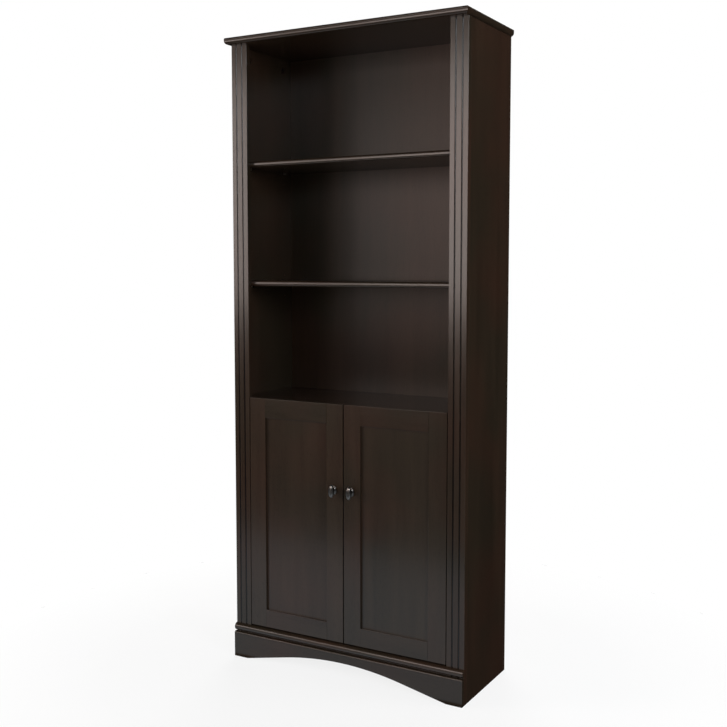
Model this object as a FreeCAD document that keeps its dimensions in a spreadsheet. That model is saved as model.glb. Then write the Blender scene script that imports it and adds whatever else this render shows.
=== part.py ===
import FreeCAD, Part
import math
import os
import re
import Sketcher

# A tall open bookcase over a two-door cupboard, in millimetres.
# X runs across the front, -Y is the front, +Z is up. The origin is on the floor, in the middle
# of the whole object's footprint, knobs included.

SIZES = (
    # carcass
    ("overall_height", 1829, "floor to the top face"),
    ("carcass_width", 750, "across the two side panels"),
    ("carcass_depth", 289, "pilaster face to rear edge"),
    ("side_thick", 16, "side panels"),
    ("top_thick", 19, "top panel"),
    ("top_front_over", 26, "top panel, overhang in front of the pilasters"),
    ("top_side_over", 7.5, "top panel, overhang at each side"),
    ("nose_upper_round", 3.5, "top panel, radius of the upper edge"),
    ("nose_lower_round", 10, "top panel, radius of the lower edge"),
    ("back_thick", 4, "back sheets"),
    ("back_rabbet", 8, "width of the step that a back sheet sits in"),
    ("back_play", 0.5, "back sheet to the step's wall"),
    ("back_foot_level", 40, "lower edge of the lower back sheet"),
    # pilasters
    ("pilaster_width", 53, "pilasters"),
    ("pilaster_thick", 16, "pilasters, and so the doors' plane"),
    ("flute_radius", 2.5, "round-bottomed flutes"),
    ("flute_pitch", 19.3, "centre to centre of the two flutes"),
    ("arris_round", 1.2, "eased long edges of pilasters and side panels"),
    # shelves
    ("shelf_thick", 16, "all shelves"),
    ("shelf_nose_round", 6.5, "rounded front edges of the loose shelves"),
    ("shelf_end_play", 1, "loose shelf to side panel, each end"),
    ("shelf_rear_play", 2, "loose shelf to back sheet"),
    ("shelf_set_back", 2, "loose shelf behind the pilaster's back"),
    ("fixed_shelf_level", 788, "top face of the fixed shelf, and the doors' top edge"),
    ("lower_bay", 328, "clear height over the fixed shelf"),
    ("middle_bay", 330, "clear height over the lower open shelf"),
    ("base_height", 100, "floor to the bottom shelf's underside"),
    ("cupboard_bay", 316, "clear height under the cupboard shelf"),
    ("cupboard_shelf_gap", 6, "cupboard shelf to the hinge battens"),
    # base
    ("apron_thick", 12, "arched base board"),
    ("apron_height", 76, "arched base board"),
    ("apron_round", 5, "arched base board, top front edge"),
    ("arch_rise", 48.5, "arch crown over the floor"),
    ("arch_slope", 144, "straight slope from each foot up to the round crown"),
    ("foot_width", 47, "foot at each end of the arch"),
    ("bead_radius", 11, "half-round bead"),
    ("rail_thick", 16, "kick rail and rear rail"),
    ("rail_clear", 3.5, "rails over the arch's crown"),
    # doors
    ("door_side_gap", 2, "door to pilaster"),
    ("door_meeting_gap", 3, "between the doors"),
    ("door_foot_gap", 3, "door to bead"),
    ("door_back_gap", 1.6, "door to the shelf edges behind it"),
    ("stile_width", 54, "door stiles"),
    ("top_rail_width", 57, "door top rail"),
    ("bottom_rail_width", 53, "door bottom rail"),
    ("panel_recess", 7, "door panel behind the stiles' face"),
    ("panel_thick", 5, "door panel"),
    ("groove_depth", 9, "grooves in stiles and rails"),
    ("groove_play", 0.1, "panel or tongue to each groove wall"),
    ("tongue_length", 8, "rail tongues and the panel's edge in the grooves"),
    ("door_round", 1, "eased edges of the door frames"),
    # knobs
    ("knob_level", 543, "knob centre over the floor"),
    ("knob_reach", 24, "knob, from the door's face"),
    ("knob_tall", 38, "knob head"),
    ("knob_wide", 17.5, "knob head"),
    ("knob_deep", 13, "knob head"),
    ("knob_base_radius", 8.5, "round foot of the knob"),
    ("knob_base_thick", 2.5, "round foot of the knob"),
    ("knob_stem_radius", 4.5, "knob stem"),
    ("knob_screw_radius", 2, "knob screw"),
    ("screw_play", 0.2, "clearance round the screws' shanks"),
    # hinges
    ("batten_depth", 48, "hinge battens"),
    ("hinge_inset", 100, "hinge centre to the door's end"),
    ("cup_radius", 17.5, "hinge cup"),
    ("cup_depth", 11.5, "hinge cup"),
    ("cup_wall", 1.2, "hinge cup"),
    ("cup_edge", 5, "cup to the door's edge"),
    ("cup_play", 0.1, "clearance round the cup"),
    ("flange_thick", 1.2, "cup flange"),
    ("flange_tall", 60, "cup flange"),
    ("flange_wide", 13, "cup flange"),
    ("cup_screw_pitch", 48, "cup flange screws"),
    ("plate_thick", 3, "hinge arm's foot"),
    ("plate_tall", 36, "hinge arm's foot"),
    ("plate_long", 19, "hinge arm's foot"),
    ("plate_rear_gap", 7, "hinge arm's foot to the batten's rear edge"),
    ("arm_height", 12, "hinge arm"),
    ("arm_wide", 9, "hinge arm, out from the batten"),
    ("crank_deep", 6, "hinge arm's cranked end"),
    ("arm_screw_pitch", 24, "hinge arm screws"),
    ("arm_screw_bite", 12, "hinge arm screws in the batten"),
    ("link_wide", 6, "hinge links"),
    ("link_tall", 8, "hinge links"),
    ("link_pin_radius", 1.5, "hinge link pins"),
    ("arm_clear", 2.5, "hinge arm behind the door's back"),
    # pegs and holes
    ("peg_radius", 2.45, "shelf pegs"),
    ("peg_play", 0.05, "clearance round a peg"),
    ("peg_depth", 9, "peg in its hole"),
    ("peg_hole_depth", 10, "peg holes"),
    ("peg_pitch", 32, "peg holes, one over the other"),
    ("peg_inset", 38, "pegs from a shelf's front and rear edges"),
    ("tab_thick", 4, "flat of a peg"),
    ("tab_wide", 9, "flat of a peg"),
    ("tab_long", 10, "flat of a peg"),
    # joinery
    ("cam_radius", 7.4, "cam locks"),
    ("cam_depth", 12.3, "cam locks"),
    ("cam_play", 0.1, "clearance round a cam"),
    ("cam_inset", 34, "cam centre to the joint"),
    ("cam_slot", 8, "slot in a cam for the bolt's head"),
    ("bolt_radius", 3, "cam bolts"),
    ("bolt_bore_radius", 4, "bore for a cam bolt"),
    ("bolt_bite", 9, "cam bolt's thread in the other board"),
    ("cover_thick", 1, "cam covers"),
    ("joint_inset", 45, "cams from a board's front and rear edges"),
    ("dowel_radius", 4, "dowels"),
    ("dowel_play", 0.05, "clearance round a dowel"),
    ("dowel_half", 20, "dowel in a board's end"),
    ("dowel_bite", 9.5, "dowel in a board's face"),
    ("dowel_slack", 1, "room past a dowel's end"),
    ("nail_pitch", 150, "back nails"),
    ("nail_radius", 0.8, "back nails"),
    ("nail_length", 19, "back nails"),
    ("nail_head_radius", 2.5, "back nails"),
    ("nail_head_thick", 0.8, "back nails"),
    ("wood_screw_radius", 1.8, "hinge and batten screws"),
    ("wood_screw_head", 3.6, "hinge and batten screws"),
    ("head_thick", 1.4, "hinge and batten screws"),
    ("bumper_radius", 4, "door bumpers"),
    ("bumper_thick", 1.3, "door bumpers"),
    ("bumper_inset", 16, "door bumpers from the cabinet's middle"),
)

doc = FreeCAD.newDocument("bookcase")
sheet = doc.addObject("Spreadsheet::Sheet", "sizes")
for row, (alias, value, note) in enumerate(SIZES, start=1):
    sheet.set(f"A{row}", alias.replace("_", " "))
    sheet.set(f"B{row}", str(value))
    sheet.setAlias(f"B{row}", alias)
    sheet.set(f"C{row}", note)
doc.recompute()

ALIAS = re.compile(r"\b(" + "|".join(alias for alias, value, note in SIZES) + r")\b")

# Places worked out from the sizes, as expression text.
nose = "max(knob_reach; top_front_over)"
front = f"(({nose} - carcass_depth) / 2)"
rear = f"(({nose} + carcass_depth) / 2)"
side_front = f"({front} + pilaster_thick)"
back_rear = f"({rear} - nail_head_thick)"
back_front = f"({back_rear} - back_thick)"
fixed_front = f"({side_front} + door_back_gap)"
loose_front = f"({side_front} + shelf_set_back)"
half_width = "(carcass_width / 2)"
inner_half = f"({half_width} - side_thick)"
opening_half = f"({half_width} - pilaster_width)"
ceiling = "(overall_height - top_thick)"
bottom_level = "(base_height + shelf_thick)"
cupboard_under = f"({bottom_level} + cupboard_bay)"
lower_under = "(fixed_shelf_level + lower_bay)"
middle_under = f"({lower_under} + shelf_thick + middle_bay)"
fixed_under = "(fixed_shelf_level - shelf_thick)"
batten_rear = f"({side_front} + batten_depth)"
cupboard_front = f"({batten_rear} + cupboard_shelf_gap)"
loose_rear = f"({back_front} - shelf_rear_play)"
rail_foot = "(arch_rise + rail_clear)"
rail_height = f"(base_height - {rail_foot})"
door_foot = "(base_height + door_foot_gap)"
door_height = f"(fixed_shelf_level - {door_foot})"
door_edge = f"({opening_half} - door_side_gap)"
door_width = f"({door_edge} - door_meeting_gap / 2)"
door_back = f"({front} + pilaster_thick)"
cup_inset = "(cup_edge + cup_radius)"

ALONG = {
    "x": FreeCAD.Rotation(FreeCAD.Vector(0, 1, 0), 90),
    "-x": FreeCAD.Rotation(FreeCAD.Vector(0, 1, 0), -90),
    "y": FreeCAD.Rotation(FreeCAD.Vector(1, 0, 0), -90),
    "-y": FreeCAD.Rotation(FreeCAD.Vector(1, 0, 0), 90),
    "z": FreeCAD.Rotation(),
    "-z": FreeCAD.Rotation(FreeCAD.Vector(1, 0, 0), 180),
}
SIDES = (("left", -1), ("right", 1))

nodes = []
origins = {}


def bind(thing, prop, text):
    """Bind one property to an expression in the sheet's names."""
    thing.setExpression(prop, ALIAS.sub(r"sizes.\1", str(text)))


def place(thing, at, along="z"):
    """Turn a thing to an axis and bind its position."""
    thing.Placement = FreeCAD.Placement(FreeCAD.Vector(), ALONG[along])
    for axis, text in zip("xyz", at):
        bind(thing, f".Placement.Base.{axis}", text)


def node(thing, name):
    """Name one separate piece, or one group of identical fasteners."""
    thing.Label = name
    nodes.append(thing)
    return thing


def make_body(name, at):
    """Empty body with its reference point at a bound position."""
    body = doc.addObject("PartDesign::Body", name)
    place(body, at)
    origins[body.Name] = at
    return node(body, name)


def local(body, at):
    """Position in a body's own frame."""
    return [f"{text} - ({base})" for text, base in zip(at, origins[body.Name])]


def box_feature(body, kind, at, size):
    """Box whose position is its middle in X and its low corner in Y and Z."""
    wide, deep, tall = size
    box = body.newObject(f"PartDesign::{kind}Box", f"{kind}Box")
    bind(box, "Length", wide)
    bind(box, "Width", deep)
    bind(box, "Height", tall)
    x, y, z = local(body, at)
    place(box, (f"{x} - ({wide}) / 2", y, z))


def add_box(body, at, size):
    box_feature(body, "Additive", at, size)


def cut_box(body, at, size):
    box_feature(body, "Subtractive", at, size)


def make_board(name, at, size):
    """Plain board as a body, its reference point in the middle of its low front edge."""
    body = make_body(name, at)
    add_box(body, at, size)
    return body


def drill(body, at, radius, depth, along):
    """Round hole that starts at a point and runs along an axis."""
    hole = body.newObject("PartDesign::SubtractiveCylinder", "Bore")
    bind(hole, "Radius", radius)
    bind(hole, "Height", depth)
    place(hole, local(body, at), along)


def round_edges(body, radius, *spots):
    """Fillet the edges whose middles are at these shares of the body's own box."""
    doc.recompute()
    tip = body.Tip
    box = tip.Shape.BoundBox
    picked = []
    for index, edge in enumerate(tip.Shape.Edges, start=1):
        middle = edge.valueAt((edge.FirstParameter + edge.LastParameter) / 2)
        share = (
            (middle.x - box.XMin) / box.XLength,
            (middle.y - box.YMin) / box.YLength,
            (middle.z - box.ZMin) / box.ZLength,
        )
        if any(max(abs(a - b) for a, b in zip(share, spot)) < 0.02 for spot in spots):
            picked.append(f"Edge{index}")
    fillet = body.newObject("PartDesign::Fillet", "Round")
    fillet.Base = (tip, picked)
    bind(fillet, "Radius", radius)


def rod(at, radius, length, along):
    """Loose cylinder that starts at a point and runs along an axis."""
    cylinder = doc.addObject("Part::Cylinder", "Rod")
    bind(cylinder, "Radius", radius)
    bind(cylinder, "Height", length)
    place(cylinder, at, along)
    return cylinder


def bar(at, size):
    """Loose box, placed by its middle in X and its low corner in Y and Z."""
    wide, deep, tall = size
    box = doc.addObject("Part::Box", "Bar")
    bind(box, "Length", wide)
    bind(box, "Width", deep)
    bind(box, "Height", tall)
    x, y, z = at
    place(box, (f"{x} - ({wide}) / 2", y, z))
    return box


def fuse(*pieces):
    joined = doc.addObject("Part::MultiFuse", "Joined")
    joined.Shapes = list(pieces)
    return joined


def cut(base, tool):
    left = doc.addObject("Part::Cut", "Hollowed")
    left.Base = base
    left.Tool = tool
    return left


def group(name, pieces):
    """Identical fasteners in one node, each its own solid."""
    compound = doc.addObject("Part::Compound", name)
    compound.Links = list(pieces)
    return node(compound, name)


def away(sign):
    """Axis that points to the outside at one side of the cabinet."""
    return "x" if sign > 0 else "-x"


def inward(sign):
    return away(-sign)


# Side panels: plain boards to the floor, stepped at the rear inner edge for the back sheets.
sides = {}
for name, sign in SIDES:
    centre = f"{sign} * ({half_width} - side_thick / 2)"
    panel = make_board(
        f"side_panel_{name}",
        (centre, side_front, "0"),
        ("side_thick", f"{rear} - {side_front}", ceiling),
    )
    outer = (1 + sign) / 2
    round_edges(panel, "arris_round", (outer, 0, 0.5), (outer, 1, 0.5))
    step_middle = f"{sign} * ({inner_half} + back_rabbet / 2)"
    cut_box(panel, (step_middle, back_front, "0"), ("back_rabbet", f"{rear} - {back_front}", ceiling))
    sides[sign] = panel

# Top panel: rounded nose on its front and both sides, a fuller round below than above.
top = make_board(
    "top_panel",
    ("0", f"{front} - top_front_over", ceiling),
    ("carcass_width + 2 * top_side_over", "carcass_depth + top_front_over", "top_thick"),
)
round_edges(top, "nose_upper_round", (0.5, 0, 1), (0, 0.5, 1), (1, 0.5, 1))
round_edges(top, "nose_lower_round", (0.5, 0, 0), (0, 0.5, 0), (1, 0.5, 0))

# Pilasters: two round-bottomed flutes each, from the floor to the top panel.
pilasters = {}
for name, sign in SIDES:
    centre = f"{sign} * ({half_width} - pilaster_width / 2)"
    pilaster = make_board(
        f"pilaster_{name}",
        (centre, front, "0"),
        ("pilaster_width", "pilaster_thick", ceiling),
    )
    round_edges(pilaster, "arris_round", (0, 0, 0.5), (1, 0, 0.5))
    for step in (-1, 1):
        flute = (f"{centre} + {step} * flute_pitch / 2", front, "-1")
        drill(pilaster, flute, "flute_radius", f"{ceiling} + 2", "z")
    pilasters[sign] = pilaster

# Boards and rails between the sides.
fixed_depth = f"({back_front} - {fixed_front})"
fixed_shelf = make_board(
    "fixed_shelf",
    ("0", fixed_front, fixed_under),
    (f"2 * {inner_half}", fixed_depth, "shelf_thick"),
)
bottom_shelf = make_board(
    "bottom_shelf",
    ("0", fixed_front, "base_height"),
    (f"2 * {inner_half}", fixed_depth, "shelf_thick"),
)
rear_rail_front = f"({back_front} - rail_thick)"
kick_rail = make_board(
    "kick_rail",
    ("0", side_front, rail_foot),
    (f"2 * {inner_half}", "rail_thick", rail_height),
)
rear_rail = make_board(
    "rear_rail",
    ("0", rear_rail_front, rail_foot),
    (f"2 * {inner_half}", "rail_thick", rail_height),
)
make_board(
    "front_rail",
    ("0", front, rail_foot),
    (f"2 * {opening_half}", "pilaster_thick", rail_height),
)

# Base board: feet at the ends, straight slopes, and a round crown between them. The crown's radius is
# the one whose tangent from the foot has the slope's length.
apron = make_body("base_apron", ("0", front, "0"))
outline = apron.newObject("Sketcher::SketchObject", "ApronOutline")
face_plane = next(plane for plane in apron.Origin.OriginFeatures if plane.Role == "XZ_Plane")
outline.AttachmentSupport = (face_plane, [""])
outline.MapMode = "FlatFace"
half_now = sheet.get("carcass_width") / 2
toe_now = half_now - sheet.get("foot_width")
rise_now = sheet.get("arch_rise")
crown_now = (toe_now**2 + rise_now**2 - sheet.get("arch_slope") ** 2) / (2 * rise_now)
drop_now = crown_now - rise_now
reach_now = math.hypot(toe_now, drop_now)
turn_now = math.atan2(toe_now, drop_now) - math.acos(crown_now / reach_now)
touch_x = crown_now * math.sin(turn_now)
touch_z = crown_now * math.cos(turn_now) - drop_now
height_now = sheet.get("apron_height")
corners = [
    FreeCAD.Vector(-touch_x, touch_z),
    FreeCAD.Vector(-toe_now, 0),
    FreeCAD.Vector(-half_now, 0),
    FreeCAD.Vector(-half_now, height_now),
    FreeCAD.Vector(half_now, height_now),
    FreeCAD.Vector(half_now, 0),
    FreeCAD.Vector(toe_now, 0),
    FreeCAD.Vector(touch_x, touch_z),
]
for start, end in zip(corners, corners[1:]):
    outline.addGeometry(Part.LineSegment(start, end))
crown_circle = Part.Circle(FreeCAD.Vector(0, -drop_now), FreeCAD.Vector(0, 0, 1), crown_now)
crown_arc = Part.ArcOfCircle(crown_circle, math.pi / 2 - turn_now, math.pi / 2 + turn_now)
crown = outline.addGeometry(crown_arc)
for line in range(crown - 1):
    outline.addConstraint(Sketcher.Constraint("Coincident", line, 2, line + 1, 1))
outline.addConstraint(Sketcher.Constraint("Tangent", crown - 1, 2, crown, 1))
outline.addConstraint(Sketcher.Constraint("Tangent", crown, 2, 0, 1))
outline.addConstraint(Sketcher.Constraint("PointOnObject", crown, 3, -2))
toe = f"({half_width} - foot_width)"
crown_radius = f"(({toe} * {toe} + arch_rise * arch_rise - arch_slope * arch_slope) / (2 * arch_rise))"
fixed_corners = (
    (0, f"-{toe}", "0"),
    (1, f"-{half_width}", "0"),
    (2, f"-{half_width}", "apron_height"),
    (3, half_width, "apron_height"),
    (4, half_width, "0"),
    (5, toe, "0"),
)
for line, across, up in fixed_corners:
    for kind, text in (("DistanceX", across), ("DistanceY", up)):
        now = corners[line + 1].x if kind == "DistanceX" else corners[line + 1].y
        rule = outline.addConstraint(Sketcher.Constraint(kind, -1, 1, line, 2, now))
        bind(outline, f"Constraints[{rule}]", text)
rule = outline.addConstraint(Sketcher.Constraint("DistanceY", -1, 1, crown, 3, -drop_now))
bind(outline, f"Constraints[{rule}]", f"arch_rise - {crown_radius}")
rule = outline.addConstraint(Sketcher.Constraint("Radius", crown, crown_now))
bind(outline, f"Constraints[{rule}]", crown_radius)
apron_pad = apron.newObject("PartDesign::Pad", "ApronPad")
apron_pad.Profile = outline
bind(apron_pad, "Length", "apron_thick")
round_edges(apron, "apron_round", (0.5, 0, 1))

# Half-round bead, its top level with the bottom shelf's underside.
bead = make_body("base_bead", (f"-{half_width}", front, "base_height - bead_radius"))
profile = bead.newObject("Sketcher::SketchObject", "BeadProfile")
end_plane = next(plane for plane in bead.Origin.OriginFeatures if plane.Role == "YZ_Plane")
profile.AttachmentSupport = (end_plane, [""])
profile.MapMode = "FlatFace"
bead_now = sheet.get("bead_radius")
bead_circle = Part.Circle(FreeCAD.Vector(), FreeCAD.Vector(0, 0, 1), bead_now)
profile.addGeometry(Part.ArcOfCircle(bead_circle, math.pi / 2, 3 * math.pi / 2))
profile.addGeometry(Part.LineSegment(FreeCAD.Vector(0, -bead_now), FreeCAD.Vector(0, bead_now)))
profile.addConstraint(Sketcher.Constraint("Coincident", 0, 2, 1, 1))
profile.addConstraint(Sketcher.Constraint("Coincident", 1, 2, 0, 1))
profile.addConstraint(Sketcher.Constraint("Coincident", 0, 3, -1, 1))
profile.addConstraint(Sketcher.Constraint("PointOnObject", 0, 1, -2))
profile.addConstraint(Sketcher.Constraint("PointOnObject", 0, 2, -2))
rule = profile.addConstraint(Sketcher.Constraint("Radius", 0, bead_now))
bind(profile, f"Constraints[{rule}]", "bead_radius")
bead_pad = bead.newObject("PartDesign::Pad", "BeadPad")
bead_pad.Profile = profile
bind(bead_pad, "Length", "carcass_width")

# Hinge battens fill the corners behind the pilasters, flush with their inner edges.
batten_height = f"({fixed_under} - {bottom_level})"
for name, sign in SIDES:
    batten = make_board(
        f"hinge_batten_{name}",
        (f"{sign} * ({opening_half} + {inner_half}) / 2", side_front, bottom_level),
        (f"{inner_half} - {opening_half}", "batten_depth", batten_height),
    )
    round_edges(batten, "arris_round", ((1 - sign) / 2, 1, 0.5))

# Back sheets, which meet behind the middle of the fixed shelf.
seam = f"({fixed_under} + shelf_thick / 2)"
back_width = f"2 * ({inner_half} + back_rabbet - back_play)"
for name, foot, head in (("upper", seam, ceiling), ("lower", "back_foot_level", seam)):
    make_board(
        f"back_panel_{name}",
        ("0", back_front, foot),
        (back_width, "back_thick", f"{head} - {foot}"),
    )

# Loose shelves with their pegs, and three levels of holes for each.
loose_shelves = (
    ("shelf_upper", middle_under, loose_front),
    ("shelf_lower", lower_under, loose_front),
    ("cupboard_shelf", cupboard_under, cupboard_front),
)
for name, under, shelf_front in loose_shelves:
    shelf = make_board(
        name,
        ("0", shelf_front, under),
        (f"2 * ({inner_half} - shelf_end_play)", f"{loose_rear} - {shelf_front}", "shelf_thick"),
    )
    round_edges(shelf, "shelf_nose_round", (0.5, 0, 0), (0.5, 0, 1))
    peg_level = f"({under} - tab_thick / 2)"
    pegs = []
    for side, sign in SIDES:
        wall = f"{sign} * {inner_half}"
        for column in (f"{shelf_front} + peg_inset", f"{loose_rear} - peg_inset"):
            for step in (-1, 0, 1):
                mouth = (wall, column, f"{peg_level} + {step} * peg_pitch")
                drill(sides[sign], mouth, "peg_radius + peg_play", "peg_hole_depth", away(sign))
            pin_start = (f"{wall} - {sign} * tab_long / 2", column, peg_level)
            pin = rod(pin_start, "tab_thick / 2", "tab_long / 2 + peg_depth", away(sign))
            collar = rod((wall, column, peg_level), "peg_radius", "peg_depth", away(sign))
            tab_x = f"{wall} - {sign} * tab_long / 2"
            tab_at = (tab_x, f"{column} - tab_wide / 2", f"{under} - tab_thick")
            tab = bar(tab_at, ("tab_long", "tab_wide", "tab_thick"))
            pegs.append(fuse(pin, collar, tab))
    group(f"pegs_{name}", pegs)

# Cam joints and dowels hold the fixed boards to the sides.
cams = []
bolts = []
dowels = []
covers = []


def cam_lock(centre, along, bolt_at, toward):
    """Cam with the slot that the bolt's head turns in."""
    barrel = rod(centre, "cam_radius", "cam_depth", along)
    slot = rod(bolt_at, "cam_slot / 2", "cam_radius + 1", toward)
    cams.append(cut(barrel, slot))


def cam_bolt(mouth, along):
    """Bolt that starts in the other board, crosses the joint and ends in the cam."""
    x, y, z = mouth
    sign = -1 if along.startswith("-") else 1
    start = [x, y, z]
    head = [x, y, z]
    index = "xyz".index(along[-1])
    start[index] = f"{mouth[index]} - {sign} * bolt_bite"
    head[index] = f"{mouth[index]} + {sign} * (cam_inset - bolt_radius)"
    shank = rod(start, "bolt_radius", "bolt_bite + cam_inset - 1", along)
    button = rod(head, "cam_slot / 2 - dowel_play", "bolt_radius", along)
    bolts.append(fuse(shank, button))


for board, under in ((fixed_shelf, fixed_under), (bottom_shelf, "base_height")):
    middle = f"({under} + shelf_thick / 2)"
    for side, sign in SIDES:
        wall = f"{sign} * {inner_half}"
        cam_x = f"{sign} * ({inner_half} - cam_inset)"
        stations = (
            (f"({fixed_front} + joint_inset)", 1),
            (f"({back_front} - joint_inset)", -1),
        )
        for across, step in stations:
            drill(board, (cam_x, across, under), "cam_radius + cam_play", "cam_depth + cam_play", "z")
            drill(board, (wall, across, middle), "bolt_bore_radius", "cam_inset", inward(sign))
            drill(sides[sign], (wall, across, middle), "bolt_radius + dowel_play", "bolt_bite", away(sign))
            cam_lock((cam_x, across, under), "z", (cam_x, across, middle), away(sign))
            cam_bolt((wall, across, middle), inward(sign))
            beside = f"{across} + {step} * joint_inset / 2"
            mouth = (wall, beside, middle)
            hole = "dowel_radius + dowel_play"
            drill(board, mouth, hole, "dowel_half + dowel_slack", inward(sign))
            drill(sides[sign], mouth, hole, "dowel_bite + dowel_slack", away(sign))
            start = (f"{wall} + {sign} * dowel_bite", beside, middle)
            dowels.append(rod(start, "dowel_radius", "dowel_bite + dowel_half", inward(sign)))

# The rails stand on dowels alone.
for rail, depth_middle in (
    (kick_rail, f"({side_front} + rail_thick / 2)"),
    (rear_rail, f"({rear_rail_front} + rail_thick / 2)"),
):
    for side, sign in SIDES:
        wall = f"{sign} * {inner_half}"
        for share in (1, 3):
            level = f"{rail_foot} + {share} * {rail_height} / 4"
            mouth = (wall, depth_middle, level)
            hole = "dowel_radius + dowel_play"
            drill(rail, mouth, hole, "dowel_half + dowel_slack", inward(sign))
            drill(sides[sign], mouth, hole, "dowel_bite + dowel_slack", away(sign))
            start = (f"{wall} + {sign} * dowel_bite", depth_middle, level)
            dowels.append(rod(start, "dowel_radius", "dowel_bite + dowel_half", inward(sign)))

# The top panel is drawn down on the sides by bolts that stand in it.
for side, sign in SIDES:
    edge_middle = f"{sign} * ({inner_half} + side_thick / 2)"
    wall = f"{sign} * {inner_half}"
    level = f"({ceiling} - cam_inset)"
    for across in (f"({fixed_front} + joint_inset)", f"({back_front} - joint_inset)"):
        drill(sides[sign], (wall, across, level), "cam_radius + cam_play", "cam_depth + cam_play", away(sign))
        drill(sides[sign], (edge_middle, across, ceiling), "bolt_bore_radius", "cam_inset", "-z")
        drill(top, (edge_middle, across, ceiling), "bolt_radius + dowel_play", "bolt_bite", "z")
        cam_lock((wall, across, level), away(sign), (edge_middle, across, level), "z")
        cam_bolt((edge_middle, across, ceiling), "-z")
        covers.append(rod((wall, across, level), "cam_radius + cover_thick", "cover_thick", inward(sign)))
group("cam_locks", cams)
group("cam_bolts", bolts)
group("cam_covers", covers)
group("panel_dowels", dowels)

# Dowels between the pilasters and the front edges of the sides.
pilaster_dowels = []
for side, sign in SIDES:
    edge_middle = f"{sign} * ({inner_half} + side_thick / 2)"
    for share in (1, 3, 5):
        mouth = (edge_middle, side_front, f"{share} * {ceiling} / 6")
        hole = "dowel_radius + dowel_play"
        drill(pilasters[sign], mouth, hole, "dowel_bite + dowel_slack", "-y")
        drill(sides[sign], mouth, hole, "dowel_half + dowel_slack", "y")
        start = (edge_middle, f"{side_front} - dowel_bite", mouth[2])
        pilaster_dowels.append(rod(start, "dowel_radius", "dowel_bite + dowel_half", "y"))
group("pilaster_dowels", pilaster_dowels)

# Back nails: up both sides, and along the shelves that the sheets lie on.
nail_spots = []
nail_margin = "nail_pitch / 4"
rows_now = int((sheet.get("overall_height") - sheet.get("top_thick")) / sheet.get("nail_pitch"))
for side, sign in SIDES:
    for row in range(rows_now):
        level = f"back_foot_level + {nail_margin} + {row} * nail_pitch"
        nail_spots.append((f"{sign} * ({inner_half} + back_rabbet / 2)", level))
half_columns = int(sheet.get("carcass_width") / sheet.get("nail_pitch") / 2 - 1)
shelf_rows = (
    "base_height + shelf_thick / 2",
    f"{fixed_under} + shelf_thick / 4",
    f"{fixed_under} + 3 * shelf_thick / 4",
)
for column in range(-half_columns, half_columns + 1):
    for level in shelf_rows:
        nail_spots.append((f"{column} * nail_pitch", level))
nails = []
for across, level in nail_spots:
    nails.append(rod((across, rear, level), "nail_head_radius", "nail_head_thick", "-y"))
    nails.append(rod((across, rear, level), "nail_radius", "nail_head_thick + nail_length", "-y"))
node(fuse(*nails), "back_nails")


def wood_screw(head_at, length, along):
    """Screw whose head stands on a face and whose shank runs into the wood."""
    back = {"x": "-x", "-x": "x", "y": "-y", "-y": "y"}[along]
    head = rod(head_at, "wood_screw_head", "head_thick", back)
    shank = rod(head_at, "wood_screw_radius", length, along)
    return fuse(head, shank)


# Hinges: arms on the battens, cups with their links on the doors.
hinge_levels = (f"({door_foot} + hinge_inset)", "(fixed_shelf_level - hinge_inset)")
arms = []
arm_screws = []
batten_screws = []
for side, sign in SIDES:
    face = f"{sign} * {opening_half}"
    arm_front = f"({door_back} + arm_clear)"
    plate_rear = f"({batten_rear} - plate_rear_gap)"
    plate_size = ("plate_thick", "plate_long", "plate_tall")
    beam_size = ("arm_wide", f"{plate_rear} - {arm_front}", "arm_height")
    crank_size = (f"{cup_inset} + door_side_gap", "crank_deep", "arm_height")
    for level in hinge_levels:
        arm_foot = f"{level} - arm_height / 2"
        plate_x = f"{face} - {sign} * plate_thick / 2"
        plate = bar((plate_x, f"{plate_rear} - plate_long", f"{level} - plate_tall / 2"), plate_size)
        beam = bar((f"{face} - {sign} * arm_wide / 2", arm_front, arm_foot), beam_size)
        crank_x = f"{face} - {sign} * ({cup_inset} + door_side_gap) / 2"
        crank = bar((crank_x, arm_front, arm_foot), crank_size)
        arms.append(fuse(plate, beam, crank))
        for step in (-1, 1):
            screw_at = (
                f"{face} - {sign} * plate_thick",
                f"{plate_rear} - plate_long / 2",
                f"{level} + {step} * arm_screw_pitch / 2",
            )
            arm_screws.append(wood_screw(screw_at, "plate_thick + arm_screw_bite", away(sign)))
    for share in (1, 3, 5):
        screw_level = f"{bottom_level} + {share} * {batten_height} / 6"
        screw_at = (face, f"{side_front} + batten_depth / 2", screw_level)
        screw_length = f"{inner_half} - {opening_half} + side_thick / 2"
        batten_screws.append(wood_screw(screw_at, screw_length, away(sign)))
group("hinge_arms", arms)
group("hinge_arm_screws", arm_screws)
group("batten_screws", batten_screws)

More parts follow.
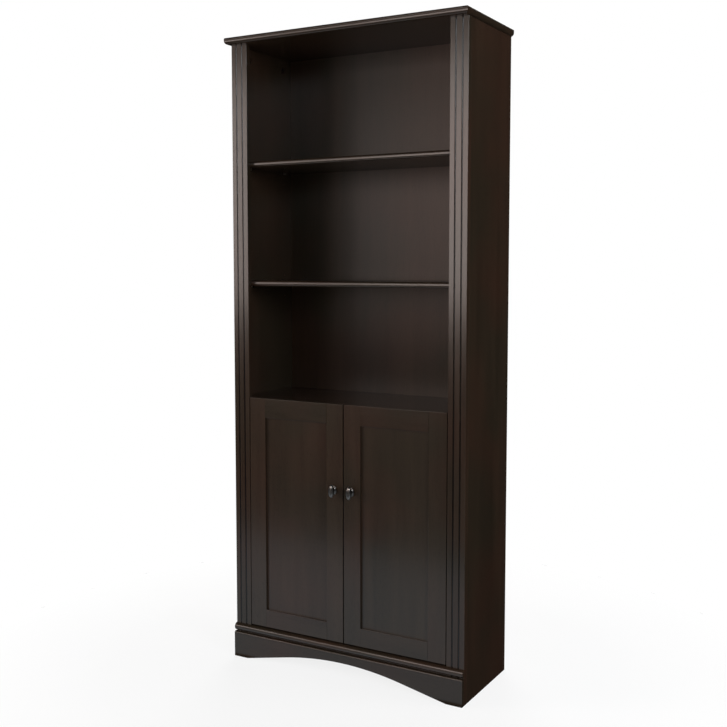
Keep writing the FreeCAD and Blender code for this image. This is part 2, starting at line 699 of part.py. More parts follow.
# Doors: grooved stiles and rails round a thin panel, with knob, hinge cups and bumpers.
groove_y = f"({front} + panel_recess - groove_play)"
groove_wide = "(panel_thick + 2 * groove_play)"
panel_y = f"({front} + panel_recess)"
door_middle = f"(door_meeting_gap / 2 + {door_width} / 2)"
clear_width = f"({door_width} - 2 * stile_width)"
clear_foot = f"({door_foot} + bottom_rail_width)"
clear_height = f"({door_height} - bottom_rail_width - top_rail_width)"
for name, sign in SIDES:
    outer = (1 + sign) / 2
    hinge_stile_x = f"{sign} * ({door_edge} - stile_width / 2)"
    lock_stile_x = f"{sign} * (door_meeting_gap / 2 + stile_width / 2)"
    stile_size = ("stile_width", "pilaster_thick", door_height)
    stiles = {}
    for role, across, groove_sign in (("hinge", hinge_stile_x, -sign), ("lock", lock_stile_x, sign)):
        stile = make_board(f"door_{name}_{role}_stile", (across, front, door_foot), stile_size)
        round_edges(stile, "door_round", (0, 0, 0.5), (1, 0, 0.5), (0.5, 0, 0), (0.5, 0, 1))
        groove_x = f"{across} + {groove_sign} * (stile_width - groove_depth) / 2"
        cut_box(stile, (groove_x, groove_y, door_foot), ("groove_depth", groove_wide, door_height))
        stiles[role] = stile
    centre = f"{sign} * {door_middle}"
    rails = (
        ("top", f"({clear_foot} + {clear_height})", "top_rail_width", "0"),
        ("bottom", door_foot, "bottom_rail_width", "bottom_rail_width - groove_depth"),
    )
    for role, foot, tall, groove_up in rails:
        rail_size = (clear_width, "pilaster_thick", tall)
        rail = make_board(f"door_{name}_{role}_rail", (centre, front, foot), rail_size)
        round_edges(rail, "door_round", (0.5, 0, 0), (0.5, 0, 1))
        tongue_size = (f"{clear_width} + 2 * tongue_length", "panel_thick", tall)
        add_box(rail, (centre, panel_y, foot), tongue_size)
        groove_size = (f"{clear_width} + 4 * tongue_length", groove_wide, "groove_depth")
        cut_box(rail, (centre, groove_y, f"{foot} + {groove_up}"), groove_size)
    make_board(
        f"door_{name}_panel",
        (centre, panel_y, f"{clear_foot} - tongue_length"),
        (f"{clear_width} + 2 * tongue_length", "panel_thick", f"{clear_height} + 2 * tongue_length"),
    )
    # Knob: round foot, waisted stem and an upright oval head.
    knob_at = (lock_stile_x, front, "knob_level")
    knob = make_body(f"knob_{name}", knob_at)
    foot_disc = knob.newObject("PartDesign::AdditiveCylinder", "FootDisc")
    bind(foot_disc, "Radius", "knob_base_radius")
    bind(foot_disc, "Height", "knob_base_thick")
    place(foot_disc, ("0", "0", "0"), "-y")
    neck = knob.newObject("PartDesign::AdditiveCone", "Neck")
    bind(neck, "Radius1", "knob_base_radius")
    bind(neck, "Radius2", "knob_stem_radius")
    bind(neck, "Height", "knob_base_thick")
    place(neck, ("0", "-knob_base_thick", "0"), "-y")
    stem = knob.newObject("PartDesign::AdditiveCylinder", "Stem")
    bind(stem, "Radius", "knob_stem_radius")
    bind(stem, "Height", "knob_reach - knob_deep / 2")
    place(stem, ("0", "0", "0"), "-y")
    head = knob.newObject("PartDesign::AdditiveEllipsoid", "Head")
    bind(head, "Radius1", "knob_tall / 2")
    bind(head, "Radius2", "knob_wide / 2")
    bind(head, "Radius3", "knob_deep / 2")
    place(head, ("0", "knob_deep / 2 - knob_reach", "0"))
    knob_bore = "knob_reach - knob_deep"
    drill(knob, knob_at, "knob_screw_radius + groove_play", knob_bore, "-y")
    knob_back = (lock_stile_x, door_back, "knob_level")
    drill(stiles["lock"], knob_back, "knob_screw_radius + screw_play", "pilaster_thick", "-y")
    screw_shank = rod(knob_back, "knob_screw_radius", f"pilaster_thick + {knob_bore} - 1", "-y")
    screw_head = rod(knob_back, "2 * knob_screw_radius", "knob_screw_radius", "y")
    node(fuse(screw_shank, screw_head), f"knob_screw_{name}")
    # Hinge cups in the back of the hinge stile.
    cups = []
    links = []
    cup_screws = []
    cup_x = f"{sign} * ({door_edge} - {cup_inset})"
    for level in hinge_levels:
        mouth = (cup_x, door_back, level)
        drill(stiles["hinge"], mouth, "cup_radius + cup_play", "cup_depth + cup_play", "-y")
        flange_at = (cup_x, door_back, f"{level} - flange_tall / 2")
        shell = fuse(
            rod(mouth, "cup_radius", "cup_depth", "-y"),
            rod(mouth, "cup_radius + cup_wall", "flange_thick", "y"),
            bar(flange_at, ("flange_wide", "flange_thick", "flange_tall")),
        )
        hollow_at = (cup_x, f"{door_back} + flange_thick", level)
        hollow = rod(hollow_at, "cup_radius - cup_wall", "cup_depth + flange_thick - cup_wall", "-y")
        cups.append(cut(shell, hollow))
        pin_at = (cup_x, f"{door_back} - cup_depth / 2", f"{level} - cup_radius + cup_wall / 2")
        pin = rod(pin_at, "link_pin_radius", "2 * cup_radius - cup_wall", "z")
        link_at = (cup_x, f"{door_back} - cup_depth + 2 * cup_wall", f"{level} - link_tall / 2")
        link = bar(link_at, ("link_wide", "cup_depth - cup_wall", "link_tall"))
        links.append(fuse(pin, link))
        for step in (-1, 1):
            screw_at = (cup_x, f"{door_back} + flange_thick", f"{level} + {step} * cup_screw_pitch / 2")
            cup_screws.append(wood_screw(screw_at, "cup_depth", "-y"))
    group(f"hinge_cups_{name}", cups)
    group(f"hinge_links_{name}", links)
    group(f"hinge_cup_screws_{name}", cup_screws)
    bumper_levels = ("base_height + shelf_thick / 2", f"{fixed_under} + shelf_thick / 2")
    bumper_x = f"{sign} * bumper_inset"
    bumpers = [
        rod((bumper_x, door_back, level), "bumper_radius", "bumper_thick", "y")
        for level in bumper_levels
    ]
    group(f"bumpers_{name}", bumpers)

doc.recompute()
faults = [thing.Label for thing in doc.Objects if "Invalid" in thing.State or "Error" in thing.State]
if faults:
    raise RuntimeError(f"objects that failed: {faults}")
for piece in nodes:
    if piece.Shape.isNull() or not piece.Shape.isValid():
        raise RuntimeError(f"{piece.Label} has no valid shape")

os.makedirs("parts", exist_ok=True)
for piece in nodes:
    piece.Shape.exportStep(f"parts/{piece.Label}.step")
    print(f"{piece.Label}: {len(piece.Shape.Solids)} solids, {piece.Shape.Volume:.0f} mm3")
print(f"{len(nodes)} nodes")
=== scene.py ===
import math

import bpy
import numpy as np
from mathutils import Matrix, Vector


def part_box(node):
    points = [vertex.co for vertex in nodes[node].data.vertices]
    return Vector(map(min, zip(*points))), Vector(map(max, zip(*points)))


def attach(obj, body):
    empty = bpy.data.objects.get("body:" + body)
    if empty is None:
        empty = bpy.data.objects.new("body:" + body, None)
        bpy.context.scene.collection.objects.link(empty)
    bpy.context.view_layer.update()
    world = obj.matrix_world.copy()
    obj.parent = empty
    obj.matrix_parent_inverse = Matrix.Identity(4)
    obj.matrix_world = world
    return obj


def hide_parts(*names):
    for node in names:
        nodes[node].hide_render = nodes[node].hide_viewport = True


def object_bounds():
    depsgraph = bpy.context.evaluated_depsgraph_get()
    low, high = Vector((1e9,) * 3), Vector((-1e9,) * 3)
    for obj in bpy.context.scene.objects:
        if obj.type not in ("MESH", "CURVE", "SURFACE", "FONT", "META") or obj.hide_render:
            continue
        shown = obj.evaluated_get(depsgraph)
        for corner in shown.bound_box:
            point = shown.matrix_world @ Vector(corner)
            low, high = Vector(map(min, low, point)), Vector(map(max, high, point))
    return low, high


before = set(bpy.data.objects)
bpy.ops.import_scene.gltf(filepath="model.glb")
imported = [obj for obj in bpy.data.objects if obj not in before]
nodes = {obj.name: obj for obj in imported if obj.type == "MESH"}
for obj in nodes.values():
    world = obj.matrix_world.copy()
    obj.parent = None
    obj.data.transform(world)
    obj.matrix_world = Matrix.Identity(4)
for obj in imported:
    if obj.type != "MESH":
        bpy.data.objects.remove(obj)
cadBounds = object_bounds()
print("frame loaded:", len(nodes), "nodes")

# Camera, to the right of the bookcase at about eye level

cameraView = {
    "place": (1.4615, -2.5768, 1.1785),
    "turn": 29.713,       # degrees to the left of straight ahead
    "tip": 4.495,         # degrees down
    "focal": 50.82,
    "sensor": 36.0,
    "shift": -0.025,
    "near": 0.05,
    "far": 200.0,
}


def makeCamera(view):
    data = bpy.data.cameras.new("camera")
    data.lens = view["focal"]
    data.sensor_width = view["sensor"]
    data.shift_y = view["shift"]
    data.clip_start = view["near"]
    data.clip_end = view["far"]
    camera = bpy.data.objects.new("camera", data)
    camera.location = view["place"]
    camera.rotation_euler = (math.radians(90 - view["tip"]), 0, math.radians(view["turn"]))
    bpy.context.scene.collection.objects.link(camera)
    bpy.context.scene.camera = camera


makeCamera(cameraView)
print("camera placed")


class Wire:
    # A socket that takes part in plain arithmetic, such as 1 - mask: each operator adds one Math node
    def __init__(self, tree, socket=None):
        self.tree = tree
        self.socket = socket

    def add(self, kind, settings=None, sockets=None, output=0):
        # Any node: its settings are set first, then the values or wires of its sockets
        made = self.tree.nodes.new(kind)
        for name, value in (settings or {}).items():
            setattr(made, name, value)
        for name, value in (sockets or {}).items():
            if isinstance(value, Wire):
                self.tree.links.new(value.socket, made.inputs[name])
            else:
                made.inputs[name].default_value = value
        return Wire(self.tree, made.outputs[output])

    def close(self, kind, shader):
        output = self.tree.nodes.new(kind)
        self.tree.links.new(shader.socket, output.inputs["Surface"])

    def maths(self, operation, first, second=0.0):
        settings = {"operation": operation}
        return self.add("ShaderNodeMath", settings, {0: first, 1: second})

    def __add__(self, other):
        return self.maths("ADD", self, other)

    def __radd__(self, other):
        return self.maths("ADD", other, self)

    def __sub__(self, other):
        return self.maths("SUBTRACT", self, other)

    def __rsub__(self, other):
        return self.maths("SUBTRACT", other, self)

    def __mul__(self, other):
        return self.maths("MULTIPLY", self, other)

    def __rmul__(self, other):
        return self.maths("MULTIPLY", other, self)

    def __abs__(self):
        return self.maths("ABSOLUTE", self)

    def within(self, low, high):
        # 0 below low, 1 above high, straight in between
        sockets = {"Value": self, "From Min": low, "From Max": high}
        return self.add("ShaderNodeMapRange", {"clamp": True}, sockets)


def newMaterial(name):
    material = bpy.data.materials.new(name)
    material.use_nodes = True
    material.node_tree.nodes.clear()
    return material, Wire(material.node_tree)


def noise(start, coordinates, scale, detail=2.0, rough=0.5, bend=0.0):
    sockets = {
        "Vector": coordinates, "Scale": scale, "Detail": detail, "Roughness": rough, "Distortion": bend,
    }
    return start.add("ShaderNodeTexNoise", {"noise_dimensions": "3D"}, sockets, "Fac")


def mixColours(start, share, first, second):
    return start.add("ShaderNodeMix", {"data_type": "RGBA"}, {0: share, 6: first, 7: second}, 2)


# Espresso boards: dark brown with long faint streaks, soft warm blotches and fine pores under satin lacquer

espresso = {
    "dark": (0.0135, 0.0078, 0.0050, 1),
    "light": (0.0370, 0.0222, 0.0140, 1),
    "warm": (0.0440, 0.0195, 0.0112, 1),
    "cool": (0.0225, 0.0185, 0.0105, 1),
    "roughness": 0.23,
    "shine": 0.34,
    "lacquer": 0.12,
    "lacquerRoughness": 0.14,
    "streakWide": 24.0,      # streaks in a metre across the grain
    "fineWide": 240.0,
    "poreWide": 900.0,
    "blotchWide": 7.0,
    "hueWide": 3.1,
    "poreRange": (0.60, 0.70),
    "toneRange": (0.42, 0.84),
    "hueRange": (0.38, 0.66),
    "streakShare": 0.60,
    "fineShare": 0.12,
    "blotchShare": 0.50,
    "streakRough": 0.06,     # how much the streaks change the gloss
    "stretch": 0.07,         # how much slower a pattern changes along the grain
    "tintShare": 0.42,       # how much of the cool and warm tints shows
    "poreShare": 0.45,
    "poreDeep": 0.00015,
    "poreStrength": 0.22,
}

alongGrain = {"x": 0, "y": 1, "z": 2}


def espressoColour(start, grain, number, look):
    # Each board's number moves the pattern, so that no two boards are alike
    stretch = [1.0, 1.0, 1.0]
    stretch[alongGrain[grain]] = look["stretch"]
    spot = start.add("ShaderNodeTexCoord", None, None, "Object")
    moved = (0.37 * number, 0.71 * number, 0.53 * number)
    place = start.add("ShaderNodeMapping", None, {"Vector": spot, "Location": moved})
    long = start.add("ShaderNodeVectorMath", {"operation": "MULTIPLY"}, {0: place, 1: stretch})
    streak = noise(start, long, look["streakWide"], 4.0, 0.6, 0.6)
    fine = noise(start, long, look["fineWide"], 3.0, 0.6)
    pore = noise(start, long, look["poreWide"], 1.0, 0.5).within(*look["poreRange"])
    blotch = noise(start, long, look["blotchWide"], 2.0, 0.5, 0.4)
    hue = noise(start, place, look["hueWide"], 2.0, 0.5)
    tone = streak * look["streakShare"] + fine * look["fineShare"] + blotch * look["blotchShare"]
    body = mixColours(start, tone.within(*look["toneRange"]), look["dark"], look["light"])
    tint = mixColours(start, hue.within(*look["hueRange"]), look["cool"], look["warm"])
    colour = mixColours(start, look["tintShare"], body, tint)
    colour = mixColours(start, pore * look["poreShare"], colour, look["dark"])
    relief = {"Strength": look["poreStrength"], "Distance": look["poreDeep"], "Height": fine * 0.35 - pore}
    bump = start.add("ShaderNodeBump", None, relief, "Normal")
    return colour, streak, bump


# Painted shade: the two flutes of a pilaster darkened in the colour, where shade falls in the grooves

flutes = {
    "pitch": 0.0193,       # between the middles of the two flutes
    "reach": 0.0026,       # half the width of the painted shade
    "core": 0.7,           # share of the reach where it is fullest
    "shadeShare": 0.72,        # the painted shade's share of the colour
    # the colour of the painted shade in the flutes
    "shadeColour": (0.0035, 0.0018, 0.0012, 1),
}


def paintFluteShade(start, middle, look):
    # Painted shade: full within reach of either flute's middle, and none outside it
    spot = start.add("ShaderNodeTexCoord", None, None, "Object")
    across = start.add("ShaderNodeSeparateXYZ", None, {"Vector": spot}, "X")
    fromFlute = abs(abs(across - middle) - look["pitch"] / 2)
    return fromFlute.within(look["reach"], look["reach"] * look["core"]) * look["shadeShare"]


def espressoFinish(name, grain, number, look, fluteMiddle=None):
    material, start = newMaterial(name)
    colour, streak, bump = espressoColour(start, grain, number, look)
    if fluteMiddle is not None:
        # Painted shade in the pilaster's flutes: the colour darkened where shade falls in the grooves
        colour = mixColours(start, paintFluteShade(start, fluteMiddle, flutes), colour, flutes["shadeColour"])
    shader = start.add("ShaderNodeBsdfPrincipled", None, {
        "Base Color": colour,
        "Roughness": look["roughness"] + look["streakRough"] * (streak - 0.5),
        "Specular IOR Level": look["shine"],
        "Coat Weight": look["lacquer"],
        "Coat Roughness": look["lacquerRoughness"],
        "Normal": bump,
    })
    start.close("ShaderNodeOutputMaterial", shader)
    return material


def paint(name, material):
    # One finish on all of a CAD piece
    piece = nodes[name]
    if not piece.material_slots:
        piece.data.materials.append(material)
    for place in piece.material_slots:
        place.material = material


uprightBoards = [
    "side_panel_left", "side_panel_right", "pilaster_left", "pilaster_right",
    "hinge_batten_left", "hinge_batten_right",
]
levelBoards = [
    "top_panel", "shelf_upper", "shelf_lower", "cupboard_shelf", "fixed_shelf", "bottom_shelf",
    "kick_rail", "rear_rail", "front_rail", "base_apron", "base_bead",
]
for side in ("left", "right"):
    uprightBoards += [f"door_{side}_hinge_stile", f"door_{side}_lock_stile", f"door_{side}_panel"]
    levelBoards += [f"door_{side}_top_rail", f"door_{side}_bottom_rail"]
for number, name in enumerate(uprightBoards):
    low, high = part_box(name)
    fluteMiddle = (low.x + high.x) / 2 if name.startswith("pilaster") else None
    paint(name, espressoFinish(name + "Finish", "z", number + 1, espresso, fluteMiddle))
for number, name in enumerate(levelBoards):
    paint(name, espressoFinish(name + "Finish", "x", number + 31, espresso))
print("boards finished")

# Back sheets: a printed face towards the shelves and raw pressed fibre behind

backSheet = dict(espresso, roughness=0.30, shine=0.15, lacquer=0.0)
rawFibre = {
    "dark": (0.085, 0.047, 0.027, 1),
    "light": (0.135, 0.080, 0.047, 1),
    "fleck": (0.210, 0.138, 0.088, 1),
    "roughness": 0.82,
    "mottleWide": 46.0,
    "mottleRange": (0.30, 0.70),
    "fleckWide": 260.0,      # flecks in a metre
    "fleckRange": (0.58, 0.72),
    "fleckShare": 0.5,
    "skin": 0.0004,          # depth over which the rear face turns into the printed board
}


def backFinish(name, number, rear, face, fibre):
    # Raw fibre on what lies within a skin's depth of the rear face, print on the rest
    material, start = newMaterial(name)
    spot = start.add("ShaderNodeTexCoord", None, None, "Object")
    depth = start.add("ShaderNodeSeparateXYZ", None, {"Vector": spot}, "Y")
    behind = depth.within(rear - fibre["skin"] * 1.5, rear - fibre["skin"] * 0.5)
    colour, streak, bump = espressoColour(start, "z", number, face)
    mottle = noise(start, spot, fibre["mottleWide"], 4.0, 0.65)
    fleck = noise(start, spot, fibre["fleckWide"], 2.0, 0.6).within(*fibre["fleckRange"])
    raw = mixColours(start, mottle.within(*fibre["mottleRange"]), fibre["dark"], fibre["light"])
    raw = mixColours(start, fleck * fibre["fleckShare"], raw, fibre["fleck"])
    shader = start.add("ShaderNodeBsdfPrincipled", None, {
        "Base Color": mixColours(start, behind, colour, raw),
        "Roughness": face["roughness"] + behind * (fibre["roughness"] - face["roughness"]),
        "Specular IOR Level": face["shine"],
        "Normal": bump,
    })
    start.close("ShaderNodeOutputMaterial", shader)
    return material


for number, name in enumerate(("back_panel_upper", "back_panel_lower")):
    paint(name, backFinish(name + "Finish", number + 21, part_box(name)[1].y, backSheet, rawFibre))
print("back sheets finished")

# Hardware: clouded metal, plastic and turned wood with a very fine grain

hardware = {
    "cloudWide": 160.0,      # clouds in a metre
    "cloudShade": 0.7,       # the darkest cloud's share of the colour
    "cloudRough": 0.12,
    "grainWide": 1500.0,
    "grainDeep": 0.00008,
    "grainStrength": 0.15,
}


def smallFinish(name, colour, roughness, metallic=1.0, look=hardware):
    material, start = newMaterial(name)
    spot = start.add("ShaderNodeTexCoord", None, None, "Object")
    cloud = noise(start, spot, look["cloudWide"], 3.0, 0.6)
    grain = noise(start, spot, look["grainWide"], 2.0, 0.5)
    shaded = [part * look["cloudShade"] for part in colour] + [1]
    tinted = mixColours(start, cloud.within(0.35, 0.7), shaded, list(colour) + [1])
    relief = {"Strength": look["grainStrength"], "Distance": look["grainDeep"], "Height": grain}
    bump = start.add("ShaderNodeBump", None, relief, "Normal")
    shader = start.add("ShaderNodeBsdfPrincipled", None, {
        "Base Color": tinted,
        "Metallic": metallic,
        "Roughness": roughness + look["cloudRough"] * (cloud - 0.5),
        "Normal": bump,
    })
    start.close("ShaderNodeOutputMaterial", shader)
    return material


def ringSolid(name, rings, material, sharpAngle):
    # A solid from a stack of outlines: rings is an array (outline, point, xyz), and a point closes each end
    count, steps, _ = rings.shape
    ends = [rings[0].mean(axis=0)[None], rings[-1].mean(axis=0)[None]]
    points = np.concatenate([rings.reshape(-1, 3), *ends])
    index = np.arange(count * steps).reshape(count, steps)
    after = np.roll(index, -1, axis=1)
    walls = np.stack([index[:-1], after[:-1], after[1:], index[1:]], axis=-1).reshape(-1, 4)
    lowCap = np.stack([after[0], index[0], np.full(steps, count * steps)], axis=-1)
    highCap = np.stack([index[-1], after[-1], np.full(steps, count * steps + 1)], axis=-1)
    mesh = bpy.data.meshes.new(name)
    mesh.from_pydata(points.tolist(), [], walls.tolist() + lowCap.tolist() + highCap.tolist())
    mesh.shade_smooth()
    mesh.set_sharp_from_angle(angle=math.radians(sharpAngle))
    mesh.materials.append(material)
    made = bpy.data.objects.new(name, mesh)
    bpy.context.scene.collection.objects.link(made)
    return made


pewter = smallFinish("pewter", (0.150, 0.140, 0.130), 0.30)
nickel = smallFinish("nickel", (0.60, 0.59, 0.57), 0.28)
zinc = smallFinish("zinc", (0.52, 0.53, 0.55), 0.40)
casting = smallFinish("casting", (0.42, 0.43, 0.44), 0.55)
beech = smallFinish("beech", (0.52, 0.36, 0.22), 0.7, 0.0)
cover = smallFinish("cover", (0.012, 0.007, 0.005), 0.40, 0.0)
clear = smallFinish("clear", (0.45, 0.45, 0.42), 0.35, 0.0)
smallParts = {
    "knob_left": pewter, "knob_right": pewter, "cam_locks": casting, "cam_bolts": zinc, "cam_covers": cover,
    "panel_dowels": beech, "pilaster_dowels": beech, "back_nails": zinc, "batten_screws": zinc,
    "hinge_arms": nickel, "hinge_arm_screws": zinc, "bumpers_left": clear, "bumpers_right": clear,
    "knob_screw_left": zinc, "knob_screw_right": zinc, "pegs_shelf_upper": nickel, "pegs_shelf_lower": nickel,
    "pegs_cupboard_shelf": nickel,
}
for side in ("left", "right"):
    smallParts[f"hinge_cups_{side}"] = nickel
    smallParts[f"hinge_links_{side}"] = nickel
    smallParts[f"hinge_cup_screws_{side}"] = zinc
for name, material in smallParts.items():
    paint(name, material)
print("small parts finished")

# Knobs: an oval foot, a waisted stem and an upright oval head with a soft crown

knob = {
    "footWide": 0.0070,    # half the foot's width
    "footTall": 0.0125,
    "footThick": 0.0025,
    "waist": 0.0036,
    "pullIn": 2.2,         # how soon the foot has pulled in to the waist
    "flare": 0.0012,       # how much the stem opens towards the head
    "headDeep": 0.0130,
    "headSeat": 0.92,      # share of the head's depth that stands clear of the stem
    "fullness": 0.60,      # below 1 squares up the head's outline
    "crownTip": 0.02,      # the last outline's share of the head, before its closing point
    "steps": 64,           # points round each outline
    "sharpAngle": 32,      # degrees between faces above which an edge stays sharp
}


def makeKnob(side, look):
    # Depth runs out from the door's face. Foot: a quarter round. Stem: a square law that pulls in to the
    # waist and a cube law that opens towards the head. Head: half sizes follow the cosine raised to the
    # fullness.
    low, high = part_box(f"knob_{side}")
    reach = high.y - low.y
    halfWide, halfTall = (high.x - low.x) / 2, (high.z - low.z) / 2
    centre = ((low.x + high.x) / 2, high.y, (low.z + high.z) / 2)
    quarter = np.linspace(0, math.pi / 2, 9)
    edge = look["footThick"] / 2
    footDepth = np.concatenate([[0.0], look["footThick"] - edge + edge * np.sin(quarter)])
    footIn = np.concatenate([[0.0], edge - edge * np.cos(quarter)])
    along = np.linspace(0, 1, 17)[1:-1]
    headStart = reach - look["headDeep"] * look["headSeat"]
    stemDepth = look["footThick"] + along * (headStart - look["footThick"])
    pull = np.maximum(0, 1 - look["pullIn"] * along) ** 2
    stem = look["waist"] + look["flare"] * along ** 3
    stemWide = stem + (look["footWide"] - edge - look["waist"]) * pull
    stemTall = stem + (look["footTall"] - edge - look["waist"]) * pull
    swing = np.linspace(-1, 1, 41)[1:] * math.pi / 2
    headDepth = reach - look["headDeep"] / 2 + look["headDeep"] / 2 * np.sin(swing)
    headShare = np.cos(swing) ** look["fullness"]
    headShare[-1] = look["crownTip"]
    keep = headDepth > headStart
    depth = np.concatenate([footDepth, stemDepth, headDepth[keep]])
    wide = np.concatenate([look["footWide"] - footIn, stemWide, halfWide * headShare[keep]])
    tall = np.concatenate([look["footTall"] - footIn, stemTall, halfTall * headShare[keep]])
    turn = np.linspace(0, 2 * math.pi, look["steps"], endpoint=False)
    rings = np.stack([
        centre[0] + wide[:, None] * np.cos(turn),
        centre[1] - depth[:, None] + 0 * turn,
        centre[2] + tall[:, None] * np.sin(turn),
    ], axis=-1)
    made = ringSolid(f"knob_{side}_turned", rings, pewter, look["sharpAngle"])
    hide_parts(f"knob_{side}")
    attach(made, f"door_{side}")


for side in ("left", "right"):
    makeKnob(side, knob)
print("knobs made")

# Studio: a pale sweep, soft boxes and a dim room

studio = {
    "floorReach": 1.22,      # radius of the floor that takes the shadow
    "floorBlend": 0.75,      # radius at which it starts to fade into plain white
    "floorTone": 0.95,
    "floorCloud": 0.02,      # how much lighter its clouds are
    "floorGlow": 0.84,       # share of plain white in the floor round the base
    "backdropReach": 90.0,
    "cardReach": 1.14,       # how far the pale card in front of the bookcase goes
    "cardLeft": -1.7,
    "cardRight": 1.0,
    "cardLevel": 0.002,
    "cardTint": (0.80, 0.90, 1.0, 1),
    "cardGlow": 0.77,
    "roomTone": (0.95, 0.97, 1.0, 1),
    "roomFront": 0.042,      # the room's strength in front of the bookcase
    "roomRear": 0.01,        # and behind it
}

lamps = {
    # name: place, aim, wide, tall, watts, tint, lights surfaces, shows in gloss
    "windowNear": ((-0.94, -3.2, 1.65), (-0.94, 0.0, 1.65), 1.5, 1.50, 44, (1.0, 0.87, 0.82), False, True),
    "windowMiddle": ((-1.99, -3.2, 1.65), (-1.99, 0.0, 1.65), 0.6, 1.50, 6.3, (1.0, 0.87, 0.82), False, True),
    "windowFar": ((-2.89, -3.2, 1.65), (-2.89, 0.0, 1.65), 1.2, 1.50, 35, (1.0, 0.87, 0.82), False, True),
    "windowGlow": ((-3.4, -2.4, 1.6), (0.0, 0.0, 1.1), 1.4, 1.6, 96, (1.0, 0.95, 0.90), True, False),
    "cameraBox": ((2.4, -3.5, 2.3), (0.0, 0.0, 1.1), 1.6, 1.6, 14, (0.90, 0.95, 1.0), True, False),
    "skyBox": ((2.1, -3.6, 2.5), (0.0, 0.0, 1.5), 1.3, 0.8, 80, (0.92, 0.96, 1.0), False, True),
    "bayBox": ((3.9, -1.9, 1.9), (0.0, 0.0, 1.4), 1.6, 1.6, 90, (0.84, 0.92, 1.0), True, False),
    "sideBox": ((3.6, 1.1, 2.1), (0.375, 0.0, 1.2), 1.8, 1.8, 66, (1.0, 0.95, 0.93), True, False),
    "overhead": ((0.0, 1.3, 3.4), (0.0, 0.1, 1.8), 2.0, 2.0, 26, (1, 1, 1), True, False),
    "rearBox": ((-1.8, 3.6, 1.8), (0.0, 0.0, 0.9), 2.2, 2.2, 110, (1, 1, 1), True, False),
    "floorBounce": ((0.0, -0.95, 0.06), (0.0, -0.45, 1.8), 2.2, 1.0, 10, (1, 1, 1), True, False),
}


def floorFinish(look):
    # Matt near the bookcase, where it takes the shadow, and plain white further out
    material, start = newMaterial("floorFinish")
    spot = start.add("ShaderNodeTexCoord", None, None, "Object")
    away = start.add("ShaderNodeVectorMath", {"operation": "LENGTH"}, {0: spot}, "Value")
    cloud = noise(start, spot, 0.8, 2.0, 0.5)
    dark, light = look["floorTone"], look["floorTone"] + look["floorCloud"]
    colour = mixColours(start, cloud, (dark, dark, dark, 1), (light, light, light, 1))
    paper = start.add("ShaderNodeBsdfDiffuse", None, {"Color": colour})
    white = start.add("ShaderNodeEmission", None, {"Color": (1, 1, 1, 1), "Strength": 1.0})
    share = away.within(look["floorBlend"], look["floorReach"]) * (1 - look["floorGlow"]) + look["floorGlow"]
    shader = start.add("ShaderNodeMixShader", None, {0: share, 1: paper, 2: white})
    start.close("ShaderNodeOutputMaterial", shader)
    return material


def glowFinish(name, colour, strength):
    material, start = newMaterial(name)
    shader = start.add("ShaderNodeEmission", None, {"Color": colour, "Strength": strength})
    start.close("ShaderNodeOutputMaterial", shader)
    return material


def softBox(name, place, aim, wide, tall, power, tint):
    data = bpy.data.lights.new(name, "AREA")
    data.shape = "RECTANGLE"
    data.size = wide
    data.size_y = tall
    data.energy = power
    data.color = tint
    lamp = bpy.data.objects.new(name, data)
    lamp.location = place
    lamp.rotation_euler = (Vector(aim) - Vector(place)).to_track_quat("-Z", "Y").to_euler()
    bpy.context.scene.collection.objects.link(lamp)
    return lamp


def surfaceOfRings(name, radii, levels, steps):
    # Rings of the given radii and levels about the upright axis, joined by four-sided faces
    turn = np.linspace(0, 2 * math.pi, steps, endpoint=False)
    radii, levels = np.asarray(radii)[:, None], np.asarray(levels)[:, None]
    points = np.stack([radii * np.cos(turn), radii * np.sin(turn), levels + 0 * turn], axis=-1)
    index = np.arange(points.shape[0] * steps).reshape(-1, steps)
    after = np.roll(index, -1, axis=1)
    faces = np.stack([index[:-1], index[1:], after[1:], after[:-1]], axis=-1).reshape(-1, 4)
    mesh = bpy.data.meshes.new(name)
    mesh.from_pydata(points.reshape(-1, 3).tolist(), [], faces.tolist())
    made = bpy.data.objects.new(name, mesh)
    bpy.context.scene.collection.objects.link(made)
    return made


def onlyCameraSees(thing):
    for setting in ("visible_diffuse", "visible_glossy", "visible_shadow", "visible_transmission"):
        setattr(thing, setting, False)


def onlyGlossSees(thing):
    for setting in ("visible_camera", "visible_diffuse", "visible_shadow", "visible_transmission"):
        setattr(thing, setting, False)


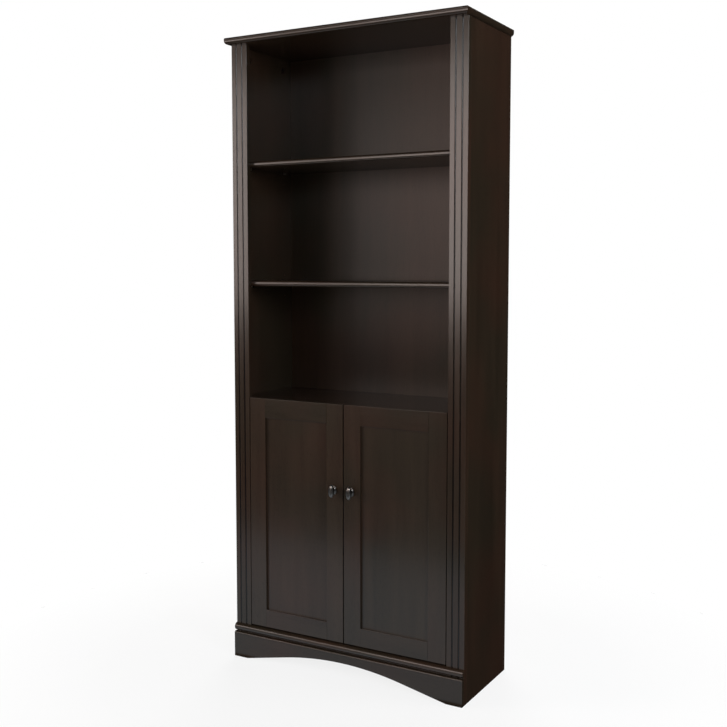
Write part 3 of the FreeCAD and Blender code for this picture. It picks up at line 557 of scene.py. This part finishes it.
def makeFloor(look):
    floor = surfaceOfRings("floor", [0.0001, look["floorBlend"], look["floorReach"]], [0, 0, 0], 96)
    floor.data.materials.append(floorFinish(look))
    white = glowFinish("whiteFinish", (1, 1, 1, 1), 1.0)
    lift = np.linspace(0, math.pi / 2 - 0.01, 12)
    radii = [look["floorReach"], *(look["backdropReach"] * np.cos(lift))]
    levels = [0, *(look["backdropReach"] * np.sin(lift))]
    backdrop = surfaceOfRings("backdrop", radii, levels, 64)
    backdrop.data.materials.append(white)
    onlyCameraSees(backdrop)
    floor.visible_glossy = False
    floor.visible_diffuse = False
    return floor, backdrop


def makeCard(look):
    # A pale card on the floor in front, which only the gloss of the doors and base shows
    left, right = look["cardLeft"], look["cardRight"]
    far, near = cadBounds[0].y - look["cardReach"], cadBounds[0].y
    corners = [(left, far), (right, far), (right, near), (left, near)]
    mesh = bpy.data.meshes.new("frontCard")
    mesh.from_pydata([(x, y, look["cardLevel"]) for x, y in corners], [], [(0, 1, 2, 3)])
    card = bpy.data.objects.new("frontCard", mesh)
    bpy.context.scene.collection.objects.link(card)
    card.data.materials.append(glowFinish("cardFinish", look["cardTint"], look["cardGlow"]))
    onlyGlossSees(card)
    return card


def makeRoom(look):
    world = bpy.data.worlds.new("room")
    world.use_nodes = True
    world.node_tree.nodes.clear()
    start = Wire(world.node_tree)
    facing = start.add("ShaderNodeTexCoord", None, None, "Generated")
    parts = start.add("ShaderNodeSeparateXYZ", None, {"Vector": facing}, "Y")
    share = parts.within(0.5, -0.5)
    strength = share * (look["roomFront"] - look["roomRear"]) + look["roomRear"]
    glow = start.add("ShaderNodeBackground", None, {"Color": look["roomTone"], "Strength": strength})
    start.close("ShaderNodeOutputWorld", glow)
    bpy.context.scene.world = world


floor, backdrop = makeFloor(studio)
card = makeCard(studio)
makeRoom(studio)
for name, (place, aim, wide, tall, watts, tint, lights, shows) in lamps.items():
    lamp = softBox(name, place, aim, wide, tall, watts, tint)
    lamp.visible_diffuse = lights
    lamp.visible_glossy = shows
bpy.context.scene.view_settings.view_transform = "Standard"
print("studio lit")
